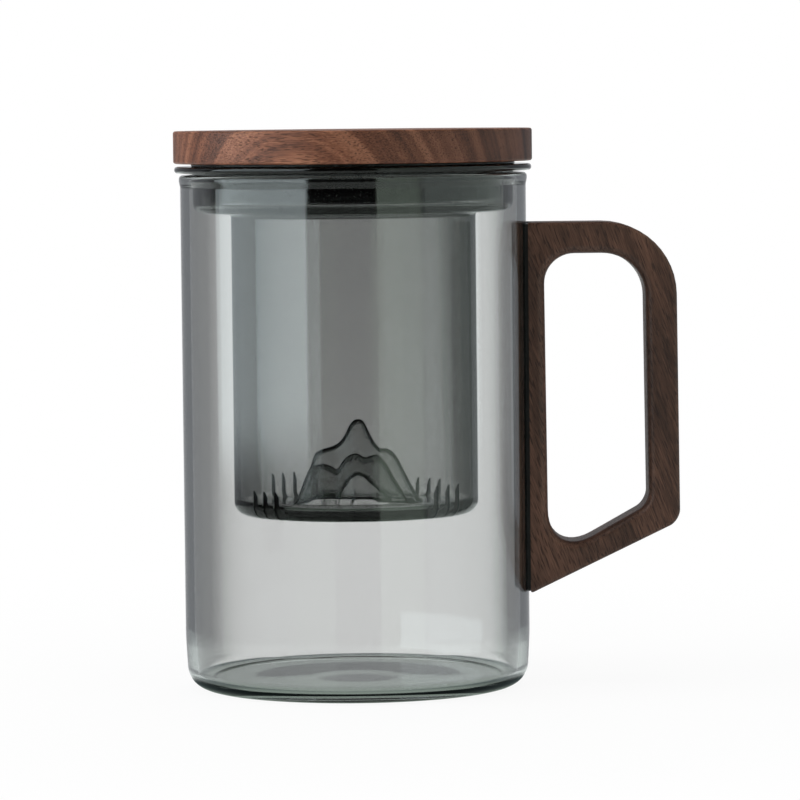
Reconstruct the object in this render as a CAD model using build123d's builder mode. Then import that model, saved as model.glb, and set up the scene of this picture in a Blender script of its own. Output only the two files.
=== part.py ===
from build123d import *
from math import cos, radians, sin
import os

os.makedirs("parts", exist_ok=True)

# All sizes are in millimetres. The origin is on the cup's axis at the underside
# of its base, +Z is up and the handle stands towards +X.

# ---- glass cup -------------------------------------------------------------
cup_radius = 42.5
cup_wall = 2.2
cup_height = 126.5
cup_floor = 2.8
cup_base_round = 7.0        # outer corner between wall and base
rim_bead_height = 2.1       # fire-polished bead at the mouth
rim_bead_proud = 0.3

# ---- glass infuser ---------------------------------------------------------
flange_lift = 0.5           # air between the cup's rim and the flange
flange_thickness = 1.6
flange_overhang = 1.4       # flange beyond the cup's wall
collar_gap = 0.9            # air between the collar and the cup's wall
collar_wall = 2.1
collar_depth = 9.9          # flange's underside to the collar's underside
collar_round = 5.0
shoulder_thickness = 2.0
strainer_radius = 30.1
strainer_wall = 1.7
strainer_floor = 1.8
strainer_depth = 84.2       # flange's underside to the strainer's underside
strainer_round = 4.5
neck_round = 1.2            # where the narrow body leaves the collar

slit_width = 0.9
slit_height = 7.2           # up the wall from the underside
slit_reach = 7.5            # in from the wall along the underside
slit_pitch = 7.6            # degrees between neighbours
slit_group_angle = 46.8     # degrees from the front and the back to a group
slits_per_group = 3

# ---- mountain pressed up from the strainer's floor ---------------------------
# height above the underside, half width along X, half depth along Y, shift in X
mountain_steps = [
    (0.0, 17.4, 11.6, 0.2),
    (3.2, 15.2, 10.2, 0.3),
    (8.0, 12.7, 8.6, 0.1),
    (13.6, 10.6, 6.4, 0.0),
    (16.0, 8.6, 5.2, 0.2),
    (17.4, 4.6, 4.0, 0.7),
    (19.6, 3.3, 3.0, 0.7),
    (22.4, 1.9, 1.8, 0.6),
    (23.0, 0.7, 0.7, 0.6),
]
mountain_wall = 1.5

# ---- walnut lid --------------------------------------------------------------
lid_thickness = 8.0
lid_margin = 0.2            # lid beyond the flange
lid_edge_round = 0.6
plug_gap = 0.5              # air between the plug and the collar
plug_lift = 0.8             # air between the plug and the collar's shoulder
groove_depth = 2.3          # seat of the silicone ring around the plug

# ---- silicone ring -------------------------------------------------------------
seal_height = 4.4
seal_gap = 0.3              # air between the ring and the collar
lip_thickness = 0.7
lip_reach = 2.5             # lip out over the flange, past the collar's inner wall

# ---- walnut handle and its bond ------------------------------------------------
handle_thickness = 14.5
handle_reach = 36.5         # cup's wall to the outside of the grip
handle_lean = 0.6           # the grip stands this much further out at its foot
handle_drop = 12.35         # cup's rim to the top of the handle
handle_height = 91.0        # top of the handle to the tip below the spine
grip_height = 73.7          # top of the handle to the foot of the grip
bar_width = 7.7
spine_width = 3.3
brace_height = 8.2          # lower bar, measured upright beside the grip
brace_root_height = 6.2     # lower bar, measured upright beside the spine
grip_top_round = 18.0
grip_foot_round = 4.5
opening_spine_round = 7.4
opening_top_round = 10.6
opening_foot_round = 5.0
finger_edge_round = 2.0
outer_edge_round = 1.0
bond_thickness = 0.8
bond_inset = 0.4            # strip inside the edges of the spine

# ---- levels and radii that follow ----------------------------------------------
cup_bore = cup_radius - cup_wall
flange_underside = cup_height + flange_lift
flange_top = flange_underside + flange_thickness
flange_radius = cup_radius + flange_overhang
collar_radius = cup_bore - collar_gap
collar_bore = collar_radius - collar_wall
collar_inner_round = collar_round - collar_wall
shoulder_underside = flange_underside - collar_depth
shoulder_top = shoulder_underside + shoulder_thickness
strainer_underside = flange_underside - strainer_depth
strainer_bore = strainer_radius - strainer_wall
strainer_inner_round = strainer_round - strainer_wall
lid_underside = flange_top + lip_thickness
lid_top = lid_underside + lid_thickness
lid_radius = flange_radius + lid_margin
plug_radius = collar_bore - plug_gap
plug_underside = shoulder_top + plug_lift
plug_round = collar_inner_round - plug_gap
groove_radius = plug_radius - groove_depth
seal_underside = lid_underside - seal_height
saddle_radius = cup_radius + bond_thickness
handle_top = cup_height - handle_drop
handle_foot = handle_top - handle_height
grip_foot = handle_top - grip_height
grip_outside = cup_radius + handle_reach
full_turn = 360


def rounded_outline(corners):
    """Draws a closed outline from (across, up, radius) corners."""
    points = [(across, up) for across, up, _ in corners]
    FilletPolyline(*points, radius=[rounding for _, _, rounding in corners], close=True)


def upright_plane(azimuth):
    """Gives the upright plane through the cup's axis whose X points to the azimuth."""
    outward = (cos(radians(azimuth)), sin(radians(azimuth)), 0)
    across = (sin(radians(azimuth)), -cos(radians(azimuth)), 0)
    return Plane(origin=(0, 0, 0), x_dir=outward, z_dir=across)


# ---- cup_glass ---------------------------------------------------------------
with BuildPart() as cup_glass:
    with BuildSketch(Plane.XZ):
        with BuildLine():
            bead_foot = cup_height - rim_bead_height
            bead_radius = cup_radius + rim_bead_proud
            bead_round = cup_wall / 3
            rounded_outline([
                (0, 0, 0),
                (cup_radius, 0, cup_base_round),
                (cup_radius, bead_foot - rim_bead_proud, 0),
                (bead_radius, bead_foot, 0),
                (bead_radius, cup_height, bead_round),
                (cup_bore, cup_height, bead_round),
                (cup_bore, cup_floor, cup_base_round - cup_wall),
                (0, cup_floor, 0),
            ])
        make_face()
    revolve(axis=Axis.Z, revolution_arc=full_turn)
cup_glass.part.label = "cup_glass"
export_step(cup_glass.part, "parts/cup_glass.step")

# ---- infuser_glass -------------------------------------------------------------
with BuildPart() as infuser_glass:
    # turned wall, from the underside of the floor up the outside and back down
    with BuildSketch(Plane.XZ):
        with BuildLine():
            flange_round = 0.45 * flange_thickness
            rounded_outline([
                (0, strainer_underside, 0),
                (strainer_radius, strainer_underside, strainer_round),
                (strainer_radius, shoulder_underside, neck_round),
                (collar_radius, shoulder_underside, collar_round),
                (collar_radius, flange_underside, collar_gap / 2),
                (flange_radius, flange_underside, flange_round),
                (flange_radius, flange_top, flange_round),
                (collar_bore, flange_top, flange_round),
                (collar_bore, shoulder_top, collar_inner_round),
                (strainer_bore, shoulder_top, neck_round + strainer_wall),
                (strainer_bore, strainer_underside + strainer_floor, strainer_inner_round),
                (0, strainer_underside + strainer_floor, 0),
            ])
        make_face()
    revolve(axis=Axis.Z, revolution_arc=full_turn)

    # outside of the mountain, standing on the underside of the floor
    for height, half_width, half_depth, shift in mountain_steps:
        with BuildSketch(Plane.XY.offset(strainer_underside + height)):
            with Locations((shift, 0)):
                Ellipse(half_width, half_depth)
    loft(ruled=True)

    # hollow under the mountain, one wall inside its outside, open below
    for height, half_width, half_depth, shift in mountain_steps[:-2]:
        with BuildSketch(Plane.XY.offset(strainer_underside + height - mountain_wall)):
            with Locations((shift, 0)):
                Ellipse(half_width - mountain_wall, half_depth - mountain_wall)
    loft(ruled=True, mode=Mode.SUBTRACT)

    # saw slits through the bottom corner, a group on each quarter
    for quarter_start in (-90, 90):
        for side in (-1, 1):
            for step in range(slits_per_group):
                spread = (step - (slits_per_group - 1) / 2) * slit_pitch
                azimuth = quarter_start + side * (slit_group_angle + spread)
                with BuildSketch(upright_plane(azimuth)):
                    with BuildLine():
                        Polyline(
                            (strainer_radius - slit_reach - slit_width, strainer_underside - slit_width),
                            (strainer_radius + slit_width, strainer_underside - slit_width),
                            (strainer_radius + slit_width, strainer_underside + slit_height + slit_width),
                            close=True,
                        )
                    make_face()
                extrude(amount=slit_width / 2, both=True, mode=Mode.SUBTRACT)
infuser_glass.part.label = "infuser_glass"
export_step(infuser_glass.part, "parts/infuser_glass.step")

# ---- lid_board -----------------------------------------------------------------
with BuildPart() as lid_board:
    with BuildSketch(Plane.XZ):
        with BuildLine():
            rounded_outline([
                (0, plug_underside, 0),
                (plug_radius, plug_underside, plug_round),
                (plug_radius, seal_underside, 0),
                (groove_radius, seal_underside, 0),
                (groove_radius, lid_underside, 0),
                (lid_radius, lid_underside, lid_edge_round),
                (lid_radius, lid_top, lid_edge_round),
                (0, lid_top, 0),
            ])
        make_face()
    revolve(axis=Axis.Z, revolution_arc=full_turn)
lid_board.part.label = "lid_board"
export_step(lid_board.part, "parts/lid_board.step")

# ---- lid_seal ------------------------------------------------------------------
with BuildPart() as lid_seal:
    with BuildSketch(Plane.XZ):
        with BuildLine():
            seal_radius = collar_bore - seal_gap
            rounded_outline([
                (groove_radius, seal_underside, 0),
                (seal_radius, seal_underside, groove_depth / 4),
                (seal_radius, flange_top, 0),
                (collar_bore + lip_reach, flange_top, lip_thickness / 3),
                (collar_bore + lip_reach, lid_underside, lip_thickness / 3),
                (groove_radius, lid_underside, 0),
            ])
        make_face()
    revolve(axis=Axis.Z, revolution_arc=full_turn)
lid_seal.part.label = "lid_seal"
export_step(lid_seal.part, "parts/lid_seal.step")

# ---- handle --------------------------------------------------------------------
with BuildPart() as handle:
    # side view of the board, closed inside the cup, where the saddle cuts it
    with BuildSketch(Plane.XZ):
        with BuildLine():
            rounded_outline([
                (cup_bore, handle_top, 0),
                (grip_outside, handle_top, grip_top_round),
                (grip_outside + handle_lean, grip_foot, grip_foot_round),
                (saddle_radius, handle_foot, 0),
                (cup_bore, handle_foot, 0),
            ])
        make_face()
    extrude(amount=handle_thickness / 2, both=True)
    board_faces = handle.faces().filter_by(Axis.Y)
    fillet([face.outer_wire().edges() for face in board_faces], outer_edge_round)

    # finger opening
    with BuildSketch(Plane.XZ):
        with BuildLine():
            spine_outside = saddle_radius + spine_width
            grip_inside = grip_outside - bar_width
            brace_slope = (grip_foot - handle_foot) / (grip_outside + handle_lean - saddle_radius)
            grip_end = handle_foot + brace_slope * (grip_inside - saddle_radius)
            spine_end = handle_foot + brace_slope * spine_width
            rounded_outline([
                (spine_outside, handle_top - bar_width, opening_spine_round),
                (grip_inside, handle_top - bar_width, opening_top_round),
                (grip_inside + handle_lean, grip_end + brace_height, opening_foot_round),
                (spine_outside + handle_lean, spine_end + brace_root_height, opening_spine_round),
            ])
        make_face()
    extrude(amount=handle_thickness, both=True, mode=Mode.SUBTRACT)
    board_faces = handle.faces().filter_by(Axis.Y)
    fillet([face.inner_wires()[0].edges() for face in board_faces], finger_edge_round)

    # saddle that fits round the cup
    with BuildSketch(Plane.XY.offset(handle_foot)):
        Circle(saddle_radius)
    extrude(amount=handle_height, mode=Mode.SUBTRACT)
handle.part.label = "handle"
export_step(handle.part, "parts/handle.step")

# ---- handle_bond ---------------------------------------------------------------
with BuildPart() as handle_bond:
    with BuildSketch(Plane.XY.offset(handle_foot + bond_inset)):
        with Locations((saddle_radius, 0)):
            Rectangle(cup_radius, handle_thickness - 2 * bond_inset)
        Circle(saddle_radius, mode=Mode.INTERSECT)
        Circle(cup_radius, mode=Mode.SUBTRACT)
    extrude(amount=handle_height - 2 * bond_inset)
handle_bond.part.label = "handle_bond"
export_step(handle_bond.part, "parts/handle_bond.step")
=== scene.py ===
"""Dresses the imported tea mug: smoked glass, walnut, silicone and a bond strip around its fixed frame."""

from __future__ import annotations

import logging
import math
from contextlib import contextmanager
from dataclasses import dataclass, field
from enum import Enum
from itertools import product
from typing import Any, Callable, Iterator, Sequence, Union

import bmesh
import bpy
import numpy as np
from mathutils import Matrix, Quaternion, Vector

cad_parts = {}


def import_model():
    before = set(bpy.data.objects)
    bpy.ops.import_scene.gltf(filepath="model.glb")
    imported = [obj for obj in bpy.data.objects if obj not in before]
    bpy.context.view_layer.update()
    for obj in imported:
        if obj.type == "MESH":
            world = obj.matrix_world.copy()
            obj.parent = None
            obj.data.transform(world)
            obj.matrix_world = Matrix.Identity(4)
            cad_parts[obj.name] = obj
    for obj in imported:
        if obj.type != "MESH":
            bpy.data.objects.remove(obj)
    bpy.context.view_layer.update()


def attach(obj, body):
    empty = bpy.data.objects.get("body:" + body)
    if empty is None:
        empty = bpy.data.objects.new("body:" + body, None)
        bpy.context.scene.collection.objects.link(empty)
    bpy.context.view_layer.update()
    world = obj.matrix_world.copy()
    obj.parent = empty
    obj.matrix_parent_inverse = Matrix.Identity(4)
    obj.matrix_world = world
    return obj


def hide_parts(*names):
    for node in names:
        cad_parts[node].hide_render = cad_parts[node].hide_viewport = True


LOG = logging.getLogger("tea_mug")
MM = 0.001
FULL_TURN = 2 * math.pi
DEGREES = 180 / math.pi         # in one radian
SAME_PLACE = 1e-6               # metres within which two points are one

Triple = tuple[float, float, float]
Colour = Triple
Band = tuple[float, float]      # where a smooth step starts and ends
Link = Union[float, Sequence[float], "Signal"]


class Body(Enum):
    """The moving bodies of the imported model."""

    CUP = "cup"
    INFUSER = "infuser"
    LID = "lid"


class Slot(Enum):
    """The finishes that the record names."""

    CUP_GLASS = "cup_glass"
    INFUSER_GLASS = "infuser_glass"
    HANDLE_WALNUT = "handle_walnut"
    LID_WALNUT = "lid_walnut"
    SILICONE = "silicone"
    BOND = "bond"


# ---- shader helpers ------------------------------------------------------------


class Signal:
    """A shader socket that takes part in Python arithmetic."""

    def __init__(self, recipe: "Recipe", socket: bpy.types.NodeSocket) -> None:
        """Wraps one output socket of a recipe's node tree."""
        self.recipe = recipe
        self.socket = socket

    def math(self, operation: str, *others: Link) -> "Signal":
        """Adds a Math node whose first value is this signal.

        Args:
            operation: The Math node's operation.
            others: The node's second and third values.

        Returns:
            The node's result.
        """
        inputs = dict(enumerate((self, *others)))
        return self.recipe.value("ShaderNodeMath", {"operation": operation}, inputs)

    def _swapped(self, operation: str, first: Link) -> "Signal":
        """Adds a Math node whose second value is this signal."""
        return self.recipe.value("ShaderNodeMath", {"operation": operation}, {0: first, 1: self})

    def __add__(self, other: Link) -> "Signal":
        """Adds a value."""
        return self.math("ADD", other)

    def __radd__(self, other: Link) -> "Signal":
        """Adds this signal to a value."""
        return self._swapped("ADD", other)

    def __sub__(self, other: Link) -> "Signal":
        """Takes a value away."""
        return self.math("SUBTRACT", other)

    def __rsub__(self, other: Link) -> "Signal":
        """Takes this signal away from a value."""
        return self._swapped("SUBTRACT", other)

    def __mul__(self, other: Link) -> "Signal":
        """Multiplies by a value."""
        return self.math("MULTIPLY", other)

    def __pow__(self, other: Link) -> "Signal":
        """Raises to a power."""
        return self.math("POWER", other)

    def __gt__(self, other: Link) -> "Signal":
        """Gives 1 where this signal is larger, else 0."""
        return self.math("GREATER_THAN", other)

    def step(self, start: float, end: float) -> "Signal":
        """Rises smoothly from 0 at start to 1 at end; start may be the larger.

        Args:
            start: The value that gives 0.
            end: The value that gives 1.

        Returns:
            The smooth step.
        """
        low, high, to_low, to_high = (start, end, 0.0, 1.0) if start < end else (end, start, 1.0, 0.0)
        inputs = {"Value": self, "From Min": low, "From Max": high,
                  "To Min": to_low, "To Max": to_high}
        return self.recipe.value("ShaderNodeMapRange", {"interpolation_type": "SMOOTHSTEP"}, inputs)

    def window(self, start: float, end: float, soft: float) -> "Signal":
        """Gives 1 between start and end, with soft edges outside them."""
        return self.step(start - soft, start) * self.step(end + soft, end)


class Recipe:
    """The node tree of one material or of the world."""

    def __init__(self, tree: bpy.types.NodeTree) -> None:
        """Empties a node tree and takes it over."""
        self.tree = tree
        self.tree.nodes.clear()

    def node(self, kind: str, settings: dict[str, Any] | None = None,
             inputs: dict[Any, Link] | None = None) -> bpy.types.Node:
        """Adds a node.

        Args:
            kind: The node's type.
            settings: Its settings, set first; "stops" gives a ramp's stops as (position, colour).
            inputs: The values or signals of its sockets, by name or number.

        Returns:
            The node.
        """
        node = self.tree.nodes.new(kind)
        for name, value in (settings or {}).items():
            if name == "stops":
                stops = node.color_ramp.elements
                while len(stops) < len(value):
                    stops.new(1.0)
                for stop, (position, colour) in zip(stops, value):
                    stop.position = position
                    stop.color = (*colour, 1.0)
            else:
                setattr(node, name, value)
        for name, value in (inputs or {}).items():
            socket = node.inputs[name]
            if isinstance(value, Signal):
                self.tree.links.new(value.socket, socket)
            elif socket.type == "RGBA" and len(value) == 3:
                socket.default_value = (*value, 1.0)
            else:
                socket.default_value = value
        return node

    def value(self, kind: str, settings: dict[str, Any] | None = None,
              inputs: dict[Any, Link] | None = None, output: int | str = 0) -> Signal:
        """Adds a node and gives one of its outputs as a signal."""
        return Signal(self, self.node(kind, settings, inputs).outputs[output])

    def place(self) -> Signal:
        """Gives the Object coordinates, which are metres in the shared frame."""
        return self.value("ShaderNodeTexCoord", output="Object")

    def vector(self, operation: str, first: Link, second: Link) -> Signal:
        """Adds a Vector Math node that gives a vector."""
        return self.value("ShaderNodeVectorMath", {"operation": operation}, {0: first, 1: second})

    def dot(self, vector: Signal, direction: Sequence[float]) -> Signal:
        """Measures a vector along a direction."""
        settings = {"operation": "DOT_PRODUCT"}
        inputs = {0: vector, 1: tuple(direction)}
        return self.value("ShaderNodeVectorMath", settings, inputs, output="Value")

    def combine(self, x: Link, y: Link, z: Link) -> Signal:
        """Makes a vector from three values."""
        return self.value("ShaderNodeCombineXYZ", inputs={0: x, 1: y, 2: z})

    def mix(self, factor: Link, first: Link, second: Link, blend: str = "MIX") -> Signal:
        """Mixes two colours.

        Args:
            factor: 0 gives the first colour, 1 the second.
            first: The first colour.
            second: The second colour.
            blend: The Mix node's blend type.

        Returns:
            The mixed colour.
        """
        settings = {"data_type": "RGBA", "blend_type": blend}
        return self.value("ShaderNodeMix", settings, {0: factor, 6: first, 7: second}, output=2)

    def noise(self, place: Signal, scale: float, detail: float = 2.0, roughness: float = 0.5) -> Signal:
        """Gives three-dimensional noise about 0.5."""
        inputs = {"Vector": place, "Scale": scale, "Detail": detail, "Roughness": roughness}
        return self.value("ShaderNodeTexNoise", inputs=inputs, output=0)

    def line_noise(self, value: Signal, scale: float, detail: float = 1.0) -> Signal:
        """Gives one-dimensional noise about 0.5."""
        inputs = {"W": value, "Scale": scale, "Detail": detail}
        return self.value("ShaderNodeTexNoise", {"noise_dimensions": "1D"}, inputs, output=0)

    def bump(self, height: Signal, depth: float, strength: float = 1.0) -> Signal:
        """Turns a height between 0 and 1 into a normal.

        Args:
            height: The height signal.
            depth: The metres that a height of 1 stands for.
            strength: The bump's strength.

        Returns:
            The normal.
        """
        inputs = {"Height": height, "Distance": depth, "Strength": strength}
        return self.value("ShaderNodeBump", inputs=inputs, output="Normal")

    def surface(self, inputs: dict[str, Link]) -> bpy.types.Node:
        """Adds the Principled shader and the material's output.

        Args:
            inputs: The shader's sockets.

        Returns:
            The output node.
        """
        shader = self.node("ShaderNodeBsdfPrincipled", inputs=inputs)
        output = self.node("ShaderNodeOutputMaterial")
        self.tree.links.new(shader.outputs["BSDF"], output.inputs["Surface"])
        return output


def new_recipe(name: str) -> tuple[bpy.types.Material, Recipe]:
    """Makes an empty node material.

    Args:
        name: The material's name.

    Returns:
        The material and the recipe of its nodes.
    """
    material = bpy.data.materials.new(name)
    material.use_nodes = True
    return material, Recipe(material.node_tree)


# ---- finishes ------------------------------------------------------------------


@dataclass(frozen=True)
class SmokedGlass:
    """Borosilicate glass dyed grey through its whole body."""

    name: str
    tint: Colour                    # light of each colour that the dye lets by
    density: float                  # absorption per metre at a black tint
    roughness: float = 0.0
    ior: float = 1.5
    ripple_size: float = 22 * MM
    ripple_depth: float = 0.02 * MM

    def build(self) -> bpy.types.Material:
        """Makes the material."""
        material, recipe = new_recipe(self.name)
        ripple = recipe.noise(recipe.place(), 1 / self.ripple_size, detail=1.0)
        output = recipe.surface({
            "Base Color": (1.0, 1.0, 1.0), "Roughness": self.roughness, "IOR": self.ior,
            "Transmission Weight": 1.0, "Normal": recipe.bump(ripple, self.ripple_depth),
        })
        dye = recipe.node("ShaderNodeVolumeAbsorption",
                          inputs={"Color": self.tint, "Density": self.density})
        recipe.tree.links.new(dye.outputs["Volume"], output.inputs["Volume"])
        return material


@dataclass(frozen=True)
class PaintedShadeSawnGlass:
    """Smoked glass where a saw has ground it dull, painted an opaque near-black colour as a painted shade
    of the slits.
    """

    name: str
    # painted shade: the sawn faces are opaque and dark in place of the darkness the slits show; the
    # scratched colour gives lighter streaks on it
    colour: Colour = (0.030, 0.038, 0.034)
    scratched: Colour = (0.085, 0.100, 0.092)
    scratch_width: float = 0.22 * MM
    scratch_depth: float = 0.02 * MM
    scratch_run: Triple = (1.0, 1.0, 0.2)       # the scratches are stretched along Z
    scratch_band: Band = (0.45, 0.75)
    dullness: float = 0.30
    dullness_spread: float = 0.25
    ior: float = 1.5

    def build(self) -> bpy.types.Material:
        """Makes the material."""
        material, recipe = new_recipe(self.name)
        place = recipe.vector("MULTIPLY", recipe.place(), self.scratch_run)
        scratches = recipe.noise(place, 1 / self.scratch_width)
        colour = recipe.mix(scratches.step(*self.scratch_band), self.colour, self.scratched)
        recipe.surface({
            "Base Color": colour, "IOR": self.ior,
            "Roughness": self.dullness + scratches * self.dullness_spread,
            "Normal": recipe.bump(scratches, self.scratch_depth),
        })
        return material


@dataclass(frozen=True)
class GrainCut:
    """How one piece of walnut lay in the log."""

    pivot: Triple               # a point inside the piece
    fibre: Triple               # along the fibres
    outward: Triple             # across the rings, away from the pith
    pith_distance: float        # from the pith to the pivot
    ring_width: float
    ring_strength: float
    end_grain: float            # how much darker the cut fibre ends are, 0 to 1

    def sideways(self) -> Vector:
        """Gives the direction along the rings and across the fibres."""
        return Vector(self.fibre).cross(Vector(self.outward)).normalized()


@dataclass(frozen=True)
class Walnut:
    """Oiled walnut with growth rings, fine fibres and open pores, and a painted shade: near black with
    specks below a given height.
    """

    name: str
    cut: GrainCut
    pale: Colour
    middle: Colour
    deep: Colour
    stops: Triple = (0.10, 0.50, 0.92)          # tones of the deep, middle and pale wood
    tone: float = 0.55                          # of wood without any figure
    ring_contrast: float = 1.3
    late_wood_contrast: float = 0.30
    late_wood_rate: float = 0.45                # dark seams to one ring
    late_wood_band: Band = (0.48, 0.62)
    wander: float = 5.5 * MM                    # how far the rings stray
    wander_size: float = 60 * MM
    fibre_contrast: float = 1.25
    fibre_width: float = 0.26 * MM
    fibre_stretch: float = 22.0
    fibre_relief: float = 0.3                   # height of the fibres over the depth of the pores
    cloud_contrast: float = 0.8
    cloud_size: float = 11 * MM
    cloud_slimness: float = 0.35                # a cloud's width over its length along the fibres
    pore_colour: Colour = (0.022, 0.010, 0.007)
    pore_strength: float = 0.58
    pore_width: float = 0.34 * MM
    pore_stretch: float = 9.0
    pore_depth: float = 0.04 * MM
    pore_band: Band = (0.60, 0.70)
    pore_crowding: float = 0.12                 # how strongly the pores gather in the pale rings
    end_filter: Colour = (0.40, 0.37, 0.40)     # what cut fibre ends let by
    polish: float = 0.42                        # roughness of the oiled surface
    pore_dullness: float = 0.2
    fibre_dullness: float = 0.25
    relief_strength: float = 0.8
    ior: float = 1.43
    # painted shade: under this height the wood turns near black with lighter specks and low roughness, in
    # place of the shade inside the collar
    painted_shade_top: float = -1.0                   # Z under which the wood is painted near black with specks, a painted shade
    painted_shade_edge: float = 0.1 * MM
    painted_shade_colour: Colour = (0.008, 0.010, 0.009)
    painted_shade_polish: float = 0.10
    painted_shade_dust: Colour = (0.045, 0.048, 0.048)
    dust_size: float = 0.5 * MM
    dust_band: Band = (0.58, 0.72)
    dust_dullness: float = 0.25

    def build(self) -> bpy.types.Material:
        """Makes the material."""
        material, recipe = new_recipe(self.name)
        cut = self.cut
        place = recipe.vector("SUBTRACT", recipe.place(), cut.pivot)
        along = recipe.dot(place, Vector(cut.fibre).normalized())
        outward = recipe.dot(place, Vector(cut.outward).normalized())
        sideways = recipe.dot(place, cut.sideways())

        stray = (recipe.noise(place, 1 / self.wander_size, detail=1.0) - 0.5) * self.wander
        radius = ((outward + cut.pith_distance) ** 2.0 + sideways ** 2.0) ** 0.5 + stray
        rings = recipe.line_noise(radius, 1 / cut.ring_width, detail=2.0)
        seams = recipe.line_noise(radius, self.late_wood_rate / cut.ring_width, detail=3.0)
        late_wood = seams.step(*self.late_wood_band)

        fibre_place = recipe.combine(along * (1 / self.fibre_stretch), outward, sideways)
        fibres = recipe.noise(fibre_place, 1 / self.fibre_width, detail=3.0, roughness=0.65)
        cloud_place = recipe.combine(along * self.cloud_slimness, outward, sideways)
        cloud = recipe.noise(cloud_place, 1 / self.cloud_size, detail=2.0)

        tone = ((rings - 0.5) * (self.ring_contrast * cut.ring_strength)
                + (fibres - 0.5) * self.fibre_contrast + (cloud - 0.5) * self.cloud_contrast
                - late_wood * (self.late_wood_contrast * cut.ring_strength) + self.tone)
        colours = tuple(zip(self.stops, (self.deep, self.middle, self.pale)))
        wood = recipe.value("ShaderNodeValToRGB", {"stops": colours}, {0: tone})

        pore_place = recipe.combine(along * (1 / self.pore_stretch), outward, sideways)
        vessels = recipe.noise(pore_place, 1 / self.pore_width, detail=0.0)
        pores = (vessels + (rings - 0.5) * self.pore_crowding).step(*self.pore_band)
        wood = recipe.mix(pores * self.pore_strength, wood, self.pore_colour)

        facing = recipe.value("ShaderNodeNewGeometry", output="Normal")
        ends = recipe.dot(facing, Vector(cut.fibre).normalized()) ** 2.0
        wood = recipe.mix(ends * cut.end_grain, wood, self.end_filter, "MULTIPLY")

        height = fibres * self.fibre_relief - pores
        roughness = self.polish + pores * self.pore_dullness + (fibres - 0.5) * self.fibre_dullness
        # painted shade: below the given height the wood is painted near black, with lighter specks and its
        # own roughness
        if self.painted_shade_top > 0:
            up = recipe.dot(recipe.place(), (0, 0, 1))
            painted_shade_share = up.step(self.painted_shade_top, self.painted_shade_top - self.painted_shade_edge)
            dust = recipe.noise(place, 1 / self.dust_size, detail=3.0).step(*self.dust_band)
            wood = recipe.mix(painted_shade_share, wood, recipe.mix(dust, self.painted_shade_colour, self.painted_shade_dust))
            painted_shade_roughness = self.painted_shade_polish + dust * self.dust_dullness
            roughness = roughness * (1.0 - painted_shade_share) + painted_shade_roughness * painted_shade_share
            height = height * (1.0 - painted_shade_share)
        recipe.surface({
            "Base Color": wood, "Roughness": roughness, "IOR": self.ior,
            "Normal": recipe.bump(height, self.pore_depth, self.relief_strength),
        })
        return material


@dataclass(frozen=True)
class Silicone:
    """Soft smoke-coloured silicone rubber with a dusty bloom."""

    name: str
    colour: Colour = (0.045, 0.050, 0.050)
    bloomed: Colour = (0.110, 0.118, 0.118)
    clearness: float = 0.25
    roughness: float = 0.12
    bloom_size: float = 1.2 * MM
    bloom_band: Band = (0.5, 0.8)
    bloom_dullness: float = 0.15
    bloom_depth: float = 0.02 * MM
    ior: float = 1.41

    def build(self) -> bpy.types.Material:
        """Makes the material."""
        material, recipe = new_recipe(self.name)
        bloom = recipe.noise(recipe.place(), 1 / self.bloom_size, detail=4.0)
        recipe.surface({
            "Base Color": recipe.mix(bloom.step(*self.bloom_band), self.colour, self.bloomed),
            "Roughness": self.roughness + bloom * self.bloom_dullness, "IOR": self.ior,
            "Transmission Weight": self.clearness,
            "Normal": recipe.bump(bloom, self.bloom_depth),
        })
        return material


@dataclass(frozen=True)
class BondRubber:
    """Black bonding strip with fine dust caught on it."""

    name: str
    colour: Colour = (0.010, 0.010, 0.010)
    dust: Colour = (0.45, 0.47, 0.48)
    dust_spacing: float = 0.9 * MM
    dust_edge: Band = (0.16, 0.10)          # of a speck, in spacings from its middle
    dust_share: Band = (0.62, 0.70)         # a cell's chance number, 0 to 1, from which it holds one
    grit_size: float = 0.4 * MM
    grit_depth: float = 0.03 * MM
    grit_dullness: float = 0.25
    roughness: float = 0.32
    ior: float = 1.5

    def build(self) -> bpy.types.Material:
        """Makes the material."""
        material, recipe = new_recipe(self.name)
        place = recipe.place()
        grit = recipe.noise(place, 1 / self.grit_size, detail=2.0)
        cells = recipe.node("ShaderNodeTexVoronoi",
                            inputs={"Vector": place, "Scale": 1 / self.dust_spacing})
        gap = Signal(recipe, cells.outputs["Distance"])
        chance = recipe.dot(Signal(recipe, cells.outputs["Color"]), (0.0, 1.0, 0.0))
        specks = gap.step(*self.dust_edge) * chance.step(*self.dust_share)
        recipe.surface({
            "Base Color": recipe.mix(specks, self.colour, self.dust),
            "Roughness": self.roughness + grit * self.grit_dullness, "IOR": self.ior,
            "Normal": recipe.bump(grit + specks, self.grit_depth),
        })
        return material


# ---- modelling helpers -----------------------------------------------------------


def select_only(piece: bpy.types.Object) -> None:
    """Makes a piece the only selected and the active object."""
    bpy.ops.object.select_all(action="DESELECT")
    piece.select_set(True)
    bpy.context.view_layer.objects.active = piece


@contextmanager
def edit_mode(piece: bpy.types.Object, kind: str = "VERT") -> Iterator[None]:
    """Opens a piece in edit mode with nothing selected, and closes it again.

    Args:
        piece: The piece to shape.
        kind: What a selection picks: VERT, EDGE or FACE.

    Yields:
        Nothing, while the piece is open.
    """
    select_only(piece)
    bpy.ops.object.mode_set(mode="EDIT")
    bpy.ops.mesh.select_mode(type=kind)
    bpy.ops.mesh.select_all(action="DESELECT")
    try:
        yield
    finally:
        bpy.ops.object.mode_set(mode="OBJECT")


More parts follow.
